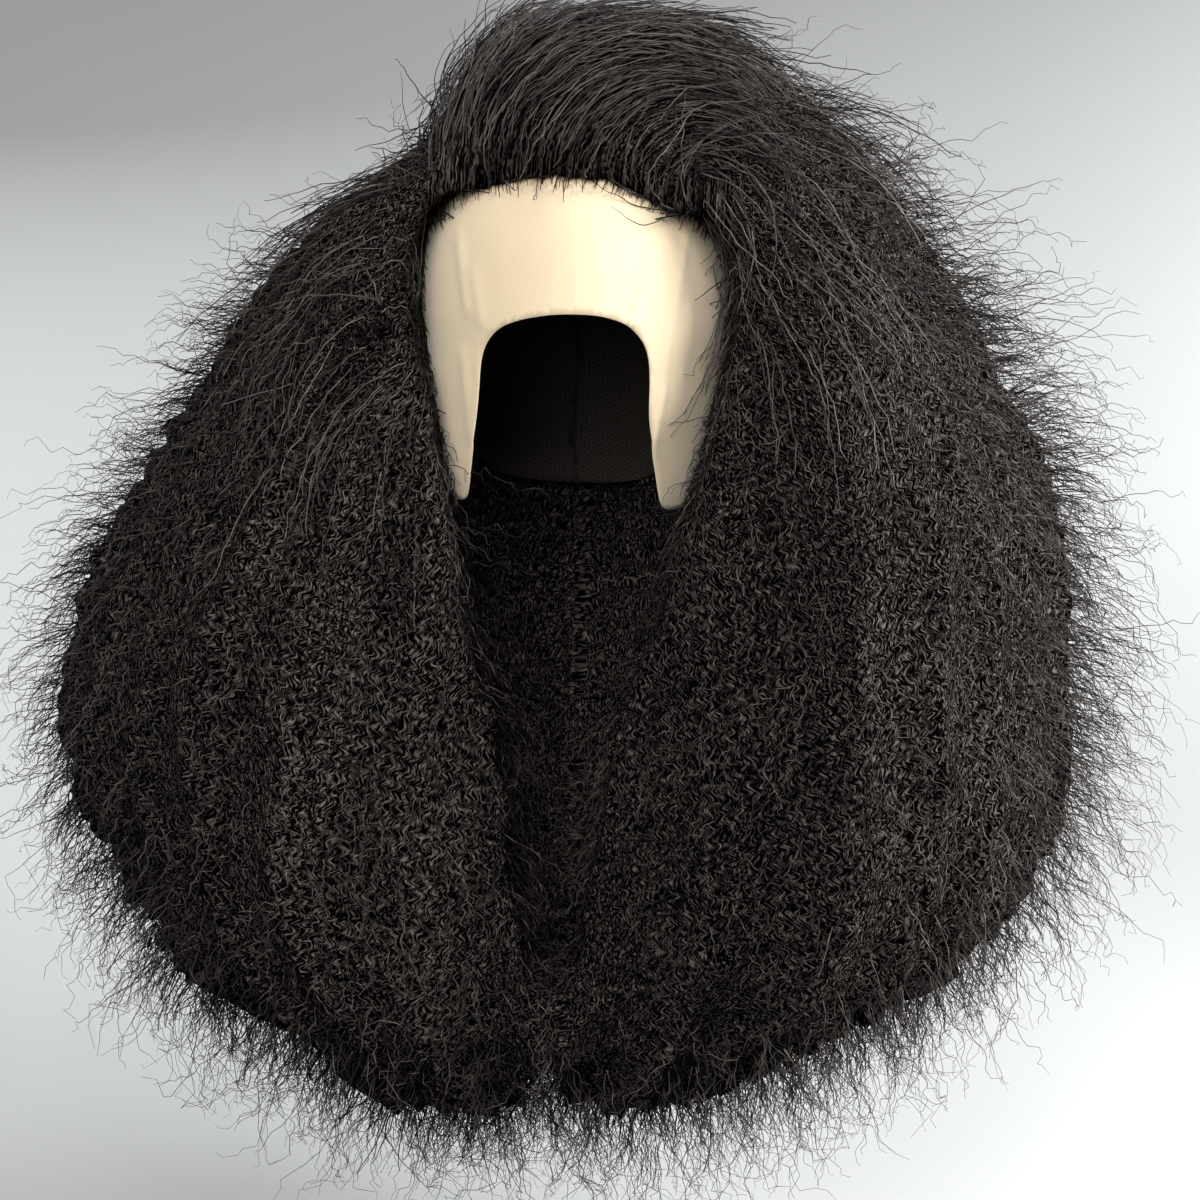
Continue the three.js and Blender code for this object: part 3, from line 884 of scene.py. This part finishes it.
def hair_material(name, dash_length=None, crimp=0.0, sheen=0.1, light=HAIR_TONE_AND_GLINT, glint_gain=0.8):
    """Off-black hair with a soft sheen: a tone for each strand with glints painted along it, and on
    deep hair a grain of dashes whose light dashes are painted glints.
    """
    material, tree, shader = new_material(name, Roughness=HAIR_ROUGHNESS, Specular_IOR_Level=sheen)
    if dash_length is None:
        tone = add_node(tree, "ShaderNodeAttribute", out="Fac", attribute_name="tone")
        feed(shader, Base_Color=tone.mix(HAIR_DARK, light))
        return material
    grain = add_node(tree, "ShaderNodeAttribute", out="Vector", attribute_name="grain")
    across = grain.node("ShaderNodeSeparateXYZ", {0: grain}, "X")
    along = grain.node("ShaderNodeSeparateXYZ", {0: grain}, "Y")
    band = grain.node("ShaderNodeSeparateXYZ", {0: grain}, "Z")
    place = add_node(tree, "ShaderNodeTexCoord", out="Object")
    sockets = {"Vector": place, "Scale": GRAIN_DRIFT["scale"], "Detail": 1.0}
    drift = place.node("ShaderNodeTexNoise", sockets)
    wave = (along * (2 * math.pi / CRIMP_LENGTH) + drift * GRAIN_DRIFT["phase"]).maths("SINE")
    swing = (wave * crimp + (drift - 0.5) * GRAIN_DRIFT["swing"]) / GRAIN_RADIUS
    across = across + swing / band.exponent()
    shell = add_node(tree, "ShaderNodeAttribute", out="Fac", attribute_name="shell")
    inner = (shell + wave * (crimp / SHELL_RADIUS)) * (SHELL_RADIUS / DASH_WIDTH)
    inner = inner + drift * GRAIN_DRIFT["layer"]
    whole = band.maths("FLOOR")
    streaks = []
    for step in (0, 1):
        fine = (whole + step).exponent() * (GRAIN_RADIUS / DASH_WIDTH)
        layer = inner + whole * BAND_STEP + step * BAND_STEP
        sockets = {"X": across * fine, "Y": along * (1 / dash_length), "Z": layer}
        thread = grain.node("ShaderNodeCombineXYZ", sockets)
        sockets = {"Vector": thread, "Scale": 1.0, "Detail": 1.0}
        streaks.append(thread.node("ShaderNodeTexNoise", sockets))
    share = band.maths("FRACT")
    spread = (share * share + (1 - share) * (1 - share)).maths("SQRT")
    streak = (streaks[0] * (1 - share) + streaks[1] * share - 0.5) / spread + 0.5
    # Painted highlights: the light dashes of the crimped hairs' grain are glints painted into the base
    # colour.
    tone = streak.between(*GRAIN_TONE_AND_GLINT_RANGE)
    bump = tone.node(
        "ShaderNodeBump", {"Strength": 1.0, "Distance": GRAIN_BUMP, "Height": tone}
    )
    feed(shader, Base_Color=(tone * glint_gain).mix(HAIR_DARK, HAIR_TONE_AND_GLINT), Normal=bump)
    return material


def deep_piece(name, nodes, ground, voxel, smoothing, material, front):
    """The deep hair of some solids, with the ground below them and what its strands need to know."""
    made = finished(name, deep_form(nodes + ground, voxel), material)
    soften(made.data, smoothing)
    outside = vertex_places(made.data)
    normals = vertex_normals(made.data)
    own_rays = surface_tree(made.data)
    open_air, thick = look_out(own_rays, outside, normals)
    flow = hair_flow(outside, normals)
    bend = flow_bend(own_rays, made.data, outside, flow)
    lumps = np.array([lump_height(place) for place in outside])
    under = under_front(outside) * (1 - front)
    lumps = lumps * open_air * ease(thick, *LUMP_THICK) * (1 - front) * (1 - under)
    frays = np.array([fray_height(place) for place in outside])
    lumps += frays * rim_share(outside) * open_air * (1 - front)
    across, up = (outside[:, [0, 2]] - SWEEP_CENTRE).T
    ring = np.hypot(across, up) / SWEEP_HOLLOW["width"]
    hollow = SWEEP_HOLLOW["depth"] * np.exp(-ring * ring)
    hollow = hollow * ease(-normals[:, 1], *SWEEP_HOLLOW["facing"]) * front
    ahead = ease(-outside[:, 1], CROWN_SINK["back"], CROWN_SINK["front"])
    sink = np.minimum(FRONT_SINK, SKIN_SHARE * thick) * under
    sink *= CROWN_SINK["share"] + (1 - CROWN_SINK["share"]) * ahead
    depth = np.maximum(skin_depth(outside, open_air, thick), sink)
    lip = under * (1 - ease(hairline_distance(outside[:, [0, 2]]), 0.0, LIP_REACH))
    places = outside + normals * (lumps - depth - hollow)[:, None] + drawn_in(outside) * (1 - front)
    places += lip[:, None] * np.array(LIP_RETREAT)
    if front:
        places = wedged(places)
    made.data.vertices.foreach_set("co", places.astype(np.float32).ravel())
    grain, shell = hair_grain(places, front)
    write_attribute(made.data, "grain", grain)
    write_attribute(made.data, "shell", shell)
    write_attribute(made.data, "flow", flow)
    write_attribute(made.data, "bend", bend)
    write_attribute(made.data, "room", flow_room(places, flow))
    write_attribute(made.data, "depth", np.clip(np.linalg.norm(outside - places, axis=1), *FRIZZ_DEPTH))
    made.data.update()
    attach(made, "root")
    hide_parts(*nodes)
    return made, outside, normals, open_air * (1 - under)


body_material = hair_material("deep_hair", dash_length=0.0038, crimp=0.0008, sheen=0.0)
# The deep front hair's dashes are painted darker than the body's: painted shade for the gaps between
# the swept locks.
front_material = hair_material("deep_front_hair", dash_length=0.03, crimp=0.0002, sheen=0.0, glint_gain=0.6)
deep_hair, deep_outside, deep_normals, deep_open = deep_piece(
    "deep_hair", BODY_NODES, FRONT_NODES, BODY_VOXEL, BODY_SMOOTHING, body_material, 0
)
deep_front, _, _, front_open = deep_piece(
    "deep_front_hair", FRONT_NODES, (), FRONT_VOXEL, FRONT_SMOOTHING, front_material, 1
)

# Loose strands of the sides and the back
# Crimped strands that leave the deep hair, lie along the way it falls and stand off it as frizz.
# Each is a thin closed tube with a zigzag of its own that its neighbours roughly share.
STRAND_INPUTS = {
    "Geometry": ("NodeSocketGeometry", None),
    "Density": ("NodeSocketFloat", 1000.0),
    "Seed": ("NodeSocketInt", 1),
    "Length": ("NodeSocketFloat", 0.04),
    "Thickness": ("NodeSocketFloat", 0.0012),
    "Taper": ("NodeSocketFloat", 0.6),
    "Points": ("NodeSocketInt", 11),
    "Crimp Height": ("NodeSocketFloat", 0.0015),
    "Crimp Length": ("NodeSocketFloat", 0.01),
    "Rise": ("NodeSocketFloat", 0.7),
    "Start": ("NodeSocketFloat", 0.0),
    "Climb": ("NodeSocketFloat", 0.8),
    "Closeness": ("NodeSocketFloat", 1.0),
    "Sunk": ("NodeSocketFloat", 0.0015),
    "Outward": ("NodeSocketFloat", 0.0),
    "Wander": ("NodeSocketFloat", 0.3),
    "Stray": ("NodeSocketFloat", 0.15),
    "Winding": ("NodeSocketFloat", 0.003),
    "Shine": ("NodeSocketFloat", 1.0),
    "Glints": ("NodeSocketFloat", 0.85),
    "Material": ("NodeSocketMaterial", None),
}
STRAND_SIDES = 3
LENGTH_VARIETY = {"least": 0.7, "spread": 0.6}
WIDTH_VARIETY = {"least": 0.75, "spread": 0.5}
CRIMP_GROWTH = {"root": 0.6, "tip": 0.4}
CRIMP_PHASE = {"scale": 45.0, "shared": 40, "own": 2}
CRIMP_LAG = 1.4
CRIMP_OUTWARD = 0.55
WANDER_SIZE = 0.03
WINDING_SIZE = 0.02
GLINT_LAG = 0.9
TONE_POWER = 1.5
STRAY_MARGIN = 0.013
SPARE_LAYERS = (
    "root", "out", "flow", "bend", "room", "depth", "cover", "grain", "shell",
    "pick", "height", "share", "stray", "knots", "net",
)


def strand_tree():
    """Grows strands on a mesh that carries a cover value, a flow, its bend and the room it has."""
    tree = bpy.data.node_groups.new("grow_strands", "GeometryNodeTree")
    for name, (kind, value) in STRAND_INPUTS.items():
        socket = tree.interface.new_socket(name, in_out="INPUT", socket_type=kind)
        if value is not None:
            socket.default_value = value
    tree.interface.new_socket("Geometry", in_out="OUTPUT", socket_type="NodeSocketGeometry")
    entry = tree.nodes.new("NodeGroupInput")
    given = {socket.name: Wire(socket) for socket in entry.outputs if socket.name}

    def named(name, kind="FLOAT_VECTOR"):
        sockets = {"Name": name}
        return add_node(
            tree, "GeometryNodeInputNamedAttribute", sockets, "Attribute", data_type=kind
        )

    def stored(geometry, name, value, kind="FLOAT"):
        sockets = {"Geometry": geometry, "Name": name, "Value": value}
        return add_node(
            tree, "GeometryNodeStoreNamedAttribute", sockets, "Geometry", data_type=kind, domain="POINT"
        )

    def chance(number):
        sockets = {"Min": 0.0, "Max": 1.0, "Seed": given["Seed"] + number}
        return add_node(tree, "FunctionNodeRandomValue", sockets, "Value", data_type="FLOAT")

    def drift(place, size):
        """A smooth vector field, about -1 to 1 each way."""
        sockets = {"Vector": place.scaled(1 / size), "Scale": 1.0, "Detail": 1.0}
        cloud = place.node("ShaderNodeTexNoise", sockets, "Color")
        return (cloud - (0.5, 0.5, 0.5)) * 4

    density = named("cover", "FLOAT") * given["Density"]
    scatter = add_node(
        tree,
        "GeometryNodeDistributePointsOnFaces",
        {"Mesh": given["Geometry"], "Density": density, "Seed": given["Seed"]},
        "Points",
        distribute_method="RANDOM",
    )
    roots = stored(scatter, "root", add_node(tree, "GeometryNodeInputPosition"), "FLOAT_VECTOR")
    roots = stored(roots, "out", Wire(scatter.socket.node.outputs["Normal"]), "FLOAT_VECTOR")
    roots = stored(roots, "pick", chance(1))
    roots = stored(roots, "height", chance(2))
    roots = stored(roots, "share", chance(3))
    sockets = {"Min": (-1, -1, -1), "Max": (1, 1, 1), "Seed": given["Seed"] + 4}
    any_way = add_node(tree, "FunctionNodeRandomValue", sockets, "Value", data_type="FLOAT_VECTOR")
    roots = stored(roots, "stray", any_way, "FLOAT_VECTOR")
    line = add_node(tree, "GeometryNodeCurvePrimitiveLine", {"Start": (0, 0, 0), "End": (0, 0, 1)})
    line = add_node(tree, "GeometryNodeResampleCurve", {"Curve": line, "Count": given["Points"]})
    strands = add_node(tree, "GeometryNodeInstanceOnPoints", {"Points": roots, "Instance": line})
    strands = add_node(tree, "GeometryNodeRealizeInstances", {"Geometry": strands})

    root = named("root")
    out = named("out")
    pick = named("pick", "FLOAT")
    share = named("share", "FLOAT")
    height = named("height", "FLOAT") ** given["Closeness"]
    along = add_node(tree, "GeometryNodeSplineParameter", out="Factor")
    length = given["Length"] * (share * LENGTH_VARIETY["spread"] + LENGTH_VARIETY["least"])
    length = length.maths("MINIMUM", named("room", "FLOAT"))
    reach = along * length
    heading = named("flow") + drift(root, WANDER_SIZE) * given["Wander"]
    heading = heading + out * (given["Outward"] * height)
    heading = heading + named("stray") * given["Stray"]
    heading = heading - out * heading.vector("DOT_PRODUCT", out, out="Value").maths("MINIMUM", 0.0)
    heading = heading.vector("NORMALIZE")
    side = heading.vector("CROSS_PRODUCT", out).vector("NORMALIZE")
    climb = (along / given["Climb"]).maths("MINIMUM", 1.0)
    climb = climb * (2 - climb)
    climb = given["Start"] + climb * (1 - given["Start"])
    top = given["Rise"] * named("depth", "FLOAT") * height
    lift = (top + given["Sunk"] * 2) * climb - given["Sunk"]
    middle = root + heading * reach + named("bend") * (reach * reach * 0.5) + out * lift
    turn = drift(middle, WINDING_SIZE)
    turn = turn - out * turn.vector("DOT_PRODUCT", out, out="Value").maths("MINIMUM", 0.0)
    middle = middle + turn * (given["Winding"] * along)
    sockets = {"Vector": root, "Scale": CRIMP_PHASE["scale"], "Detail": 1.0}
    local = root.node("ShaderNodeTexNoise", sockets, "Fac")
    phase = reach * (2 * math.pi) / given["Crimp Length"]
    phase = phase + local * CRIMP_PHASE["shared"] + pick * CRIMP_PHASE["own"]
    swing = given["Crimp Height"] * (along * CRIMP_GROWTH["tip"] + CRIMP_GROWTH["root"])
    sway = (phase + CRIMP_LAG).maths("SINE") * swing * CRIMP_OUTWARD
    place = middle + side * (phase.maths("SINE") * swing) + out * sway
    # Painted highlight: along each strand the base colour is lighter on one flank of every crimp and
    # darker on the other, glints painted in rather than lit.
    glint = 1 - given["Glints"] * (0.5 - (phase + GLINT_LAG).maths("SINE") * 0.5)
    strands = stored(strands, "tone", glint * given["Shine"] * pick ** TONE_POWER)
    strands = add_node(tree, "GeometryNodeSetPosition", {"Geometry": strands, "Position": place})
    sockets = {"Resolution": STRAND_SIDES, "Radius": 0.5}
    ring = add_node(tree, "GeometryNodeCurvePrimitiveCircle", sockets)
    width = given["Thickness"] * (1 - along * given["Taper"])
    width = width * (share * WIDTH_VARIETY["spread"] + WIDTH_VARIETY["least"])
    tubes = add_node(
        tree,
        "GeometryNodeCurveToMesh",
        {"Curve": strands, "Profile Curve": ring, "Scale": width, "Fill Caps": True},
    )
    tubes = add_node(tree, "GeometryNodeRealizeInstances", {"Geometry": tubes})
    sockets = {"Geometry": tubes, "Material": given["Material"]}
    tubes = add_node(tree, "GeometryNodeSetMaterial", sockets)
    leave = tree.nodes.new("NodeGroupOutput")
    tree.links.new(tubes.socket, leave.inputs["Geometry"])
    identifiers = {
        item.name: item.identifier
        for item in tree.interface.items_tree
        if item.item_type == "SOCKET" and item.in_out == "INPUT"
    }
    return tree, identifiers


strand_material = hair_material("strand_hair")
sleek_material = hair_material("sleek_hair", sheen=0.15)
grow_tree, grow_inputs = strand_tree()


def covered_area(mesh, cover):
    """Area of a mesh weighted by its vertices' cover, in square metres."""
    total = 0.0
    for polygon in mesh.polygons:
        corners_cover = [cover[number] for number in polygon.vertices]
        total += polygon.area * sum(corners_cover) / len(corners_cover)
    return total


def kept_in_box(mesh):
    """Draws the tips of stray strands back to the box of the solids and its margin."""
    low, high = (np.array(corner) for corner in cad_box)
    places = np.clip(vertex_places(mesh), low - STRAY_MARGIN, high + STRAY_MARGIN)
    mesh.vertices.foreach_set("co", places.astype(np.float32).ravel())


def grow(name, ground, cover, count, material=None, **sizes):
    """About a given count of strands on the ground's mesh, spread by cover, as one plain mesh."""
    mesh = ground.data.copy()
    write_attribute(mesh, "cover", cover)
    source = bpy.data.objects.new(name + "_ground", mesh)
    scene.collection.objects.link(source)
    modifier = source.modifiers.new("grow", "NODES")
    modifier.node_group = grow_tree
    sizes["density"] = count / max(covered_area(mesh, cover), 1e-9)
    for key, value in sizes.items():
        modifier[grow_inputs[key.replace("_", " ").title()]] = value
    material = material or strand_material
    modifier[grow_inputs["Material"]] = material
    bpy.context.view_layer.update()
    made = finished(name, source, material)
    bpy.data.meshes.remove(mesh)
    for spare in [layer.name for layer in made.data.attributes if layer.name in SPARE_LAYERS]:
        made.data.attributes.remove(made.data.attributes[spare])
    kept_in_box(made.data)
    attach(made, "root")
    return made


BODY_STRANDS = dict(
    length=0.016, thickness=0.00085, points=6, crimp_height=0.0012, crimp_length=0.0078,
    start=0.3, stray=0.8,
)
HOLLOW_FOOT = (0.205, 0.23)
HOLLOW_COVER = 0.4
FRONT_FACING = (-0.5, 0.3)
BEHIND = (0.03, 0.07)
INSIDE_COVER = 0.35
RIM_COVER = 2.0
deep_x, deep_y, deep_z = deep_outside.T
hollow_zone = (1 - deep_open) * ease(-deep_z, *HOLLOW_FOOT) * HOLLOW_COVER
facing = 0.5 + 0.5 * ease(-deep_normals[:, 1], *FRONT_FACING)
behind_zone = ease(deep_y, *BEHIND)
side_zone = (deep_open * facing + hollow_zone) * (1 - behind_zone)
deep_depth = np.empty(len(deep_outside), dtype=np.float32)
deep_hair.data.attributes["depth"].data.foreach_get("value", deep_depth)
to_rim = deep_depth / FRIZZ_DEPTH[1]
strand_cover = INSIDE_COVER + RIM_COVER * to_rim
left_zone = side_zone * strand_cover * (deep_x < 0)
right_zone = side_zone * strand_cover * (deep_x >= 0)
back_zone = (deep_open * strand_cover + hollow_zone) * behind_zone
# The left strands are painted darker than the right ones: painted shade on the side away from the
# daylight.
grow("left_strands", deep_hair, left_zone, 1750, seed=11, shine=0.85, **BODY_STRANDS)
grow("right_strands", deep_hair, right_zone, 1950, seed=12, **BODY_STRANDS)
grow("back_strands", deep_hair, back_zone, 1500, seed=13, **BODY_STRANDS)

# Swept front hair
# Longer, sleeker strands, knotted to the lace behind the hairline, which rise from it, arc over the
# brow to one side and fall at the temples.
# The swept and temple strands' raised shine and their glints are painted highlights in the base colour.
SWEPT_STRANDS = dict(
    length=0.055, thickness=0.0008, points=12, crimp_height=0.0006, crimp_length=0.014,
    rise=1.0, climb=0.5, wander=0.14, winding=0.003, glints=0.6, shine=1.1,
)
LEFT_TEMPLE = {"face": (0.066, 0.08), "ear": (-0.16, -0.13), "jaw": (-0.2, -0.15)}
RIGHT_TEMPLE = {"face": (0.06, 0.075), "ear": (-0.15, -0.12), "jaw": (-0.14, -0.1)}
grow("swept_strands", deep_front, front_open, 1150, sleek_material, seed=21, **SWEPT_STRANDS)


def at_temple(outward, zone):
    """1 at a temple of the deep hair, fading towards the face, the ear and the jaw."""
    return ease(outward, *zone["face"]) * ease(-outward, *zone["ear"]) * ease(deep_z, *zone["jaw"])


temple_zone = at_temple(-deep_x, LEFT_TEMPLE) + at_temple(deep_x, RIGHT_TEMPLE)
temple_zone = temple_zone * ease(-deep_y, *TEMPLE_ZONE["back"]) * deep_open
grow("temple_strands", deep_hair, temple_zone, 300, sleek_material, seed=22, **SWEPT_STRANDS)

# Frizz
# The outside of the hair: short strands round its rim, a haze of fine crimped hairs that float along
# the locks, loose ones that stand off it, and wider curls at the hem, closest below the neck.
HAZE = dict(
    length=0.027, thickness=0.00048, points=11, crimp_height=0.0021, crimp_length=0.0092,
    rise=1.5, start=0.55, closeness=1.25, wander=0.8, stray=1.1, winding=0.007,
)
RIM_STRANDS = dict(
    length=0.016, thickness=0.0007, points=5, crimp_height=0.0012, crimp_length=0.0085,
    rise=0.8, start=0.3, closeness=1.7, wander=0.6, stray=0.9, winding=0.004,
)
FRIZZ = dict(
    length=0.04, thickness=0.00045, points=13, crimp_height=0.003, crimp_length=0.012,
    rise=1.4, climb=0.65, closeness=1.3, outward=0.1, wander=0.7, stray=0.7, winding=0.009,
)
HEM_CURLS = dict(
    length=0.046, thickness=0.0005, points=13, crimp_height=0.005, crimp_length=0.02,
    rise=0.8, climb=0.6, outward=0.3, wander=0.9, stray=0.9, winding=0.014,
)
HAZE_INSIDE = 0.15
HAZE_RIM = 0.85
HEM_HEIGHT = (0.42, 0.5)
NECK = {"x": -0.012, "width": 0.03, "back": (-0.06, -0.03), "gain": 8}
haze_share = deep_open * (HAZE_INSIDE + HAZE_RIM * to_rim)
left_haze = haze_share * (1 - behind_zone) * (deep_x < 0)
right_haze = haze_share * (1 - behind_zone) * (deep_x >= 0)
back_haze = haze_share * behind_zone
rim_zone = deep_open * rim_share(deep_outside) ** 2
grow("rim_strands", deep_hair, rim_zone, 1400, seed=38, **RIM_STRANDS)
grow("left_haze", deep_hair, left_haze, 1750, seed=31, **HAZE)
grow("right_haze", deep_hair, right_haze, 2000, seed=32, **HAZE)
grow("back_haze", deep_hair, back_haze, 1150, seed=33, **HAZE)
grow("left_frizz", deep_hair, left_haze, 420, seed=34, **FRIZZ)
grow("right_frizz", deep_hair, right_haze, 500, seed=35, **FRIZZ)
grow("back_frizz", deep_hair, back_haze, 350, seed=36, **FRIZZ)
at_neck = np.exp(-((deep_x - NECK["x"]) / NECK["width"]) ** 2) * ease(-deep_y, *NECK["back"])
hem_zone = deep_open * ease(-deep_z, *HEM_HEIGHT) * (1 + NECK["gain"] * at_neck)
grow("hem_curls", deep_hair, hem_zone, 640, seed=37, **HEM_CURLS)

# Hairline
# Fine hairs knotted singly into the lace, thinly at its front and closer towards the hair, the first
# locks behind them, which rise from the lace and turn over into the way the hair lies, and loose
# strands on the edge of the hair beside the face.
LOCK_FORWARD = 0.2
LOCK_TURN = 13.0
LOCK_END = (0.3, 0.6, 0.0)
LOCK_CORNER = {"side": (0.05, 0.065), "foot": (-0.12, -0.09), "gain": 2}
HAIR_FAN = np.array((-0.012, 0, -0.145))
LACE_BACK = 0.01
WISP_BEND = 6.0
WISP_DEPTH = 0.003
WISP_START = (-0.003, -0.0005)
LOCK_START = (-0.005, -0.001)
LOCK_STOP = (-0.005, 0.0)
EDGE_ZONE = {"near": (0.004, 0.02), "back": (-0.05, -0.02), "foot": (-0.27, -0.24)}
# Lightest tone of the brown baby hairs, which is also the colour of their painted glints.
BABY_HAIR_TONE_AND_GLINT = (0.13, 0.075, 0.05, 1)
lace_normals = vertex_normals(lace.data)
from_dome = unit(lace_places - (0, 0, DOME_CENTRE_Z))
lace_outer = np.sum(lace_normals * from_dome, axis=1) > SHEET_FACING
hair_ahead = unit((lace_places - HAIR_FAN) * (1, 0, 1))
hair_ahead -= lace_normals * np.sum(hair_ahead * lace_normals, axis=1, keepdims=True)
hair_ahead = unit(hair_ahead)
lace_front = lace_outer * (lace_places[:, 1] < LACE_BACK)
wisp_zone = lace_front * ease(-lace_into_face, -knot_band, 0.0) * ease(lace_into_face, *WISP_START)
write_attribute(lace.data, "flow", hair_ahead)
write_attribute(lace.data, "bend", -lace_normals * WISP_BEND)
write_attribute(lace.data, "room", np.ones(len(lace_places)))
write_attribute(lace.data, "depth", np.full(len(lace_places), WISP_DEPTH))
baby_material = hair_material("baby_hair", light=BABY_HAIR_TONE_AND_GLINT)
grow(
    "hairline_wisps", lace, wisp_zone, 2100, baby_material, seed=41, length=0.013, thickness=0.0003,
    taper=-1.6, points=4, crimp_height=0.0002, crimp_length=0.012, rise=0.6, sunk=0.0002,
    wander=0.2, stray=0.25, winding=0.001, shine=1.5,
)
lock_flow = unit(hair_ahead + np.array((0, -LOCK_FORWARD, 0)))
write_attribute(lace.data, "flow", lock_flow)
write_attribute(lace.data, "bend", (unit(hair_ahead + np.array(LOCK_END)) - lock_flow) * LOCK_TURN)
lock_zone = lace_front * ease(-lace_into_face, *LOCK_STOP) * ease(lace_into_face, *LOCK_START)
at_corner = ease(np.abs(lace_places[:, 0]), *LOCK_CORNER["side"])
at_corner = at_corner * ease(lace_places[:, 2], *LOCK_CORNER["foot"])
lock_zone = lock_zone * (1 + LOCK_CORNER["gain"] * at_corner)
grow(
    "hairline_locks", lace, lock_zone, 640, seed=42, length=0.045, thickness=0.0007, taper=0.3,
    points=11, crimp_height=0.0007, crimp_length=0.013, rise=1.0, sunk=0.0002, wander=0.25,
    winding=0.003, shine=0.5,
)
edge_near = 1 - ease(hairline_distance(deep_outside[:, [0, 2]]), *EDGE_ZONE["near"])
edge_zone = edge_near * ease(-deep_y, *EDGE_ZONE["back"]) * ease(deep_z, *EDGE_ZONE["foot"])
grow(
    "hairline_edge", deep_hair, edge_zone, 400, seed=43, length=0.02, thickness=0.0006, points=7,
    crimp_height=0.001, crimp_length=0.009, rise=1.0, start=0.2, wander=0.4, stray=0.6,
    winding=0.003,
)
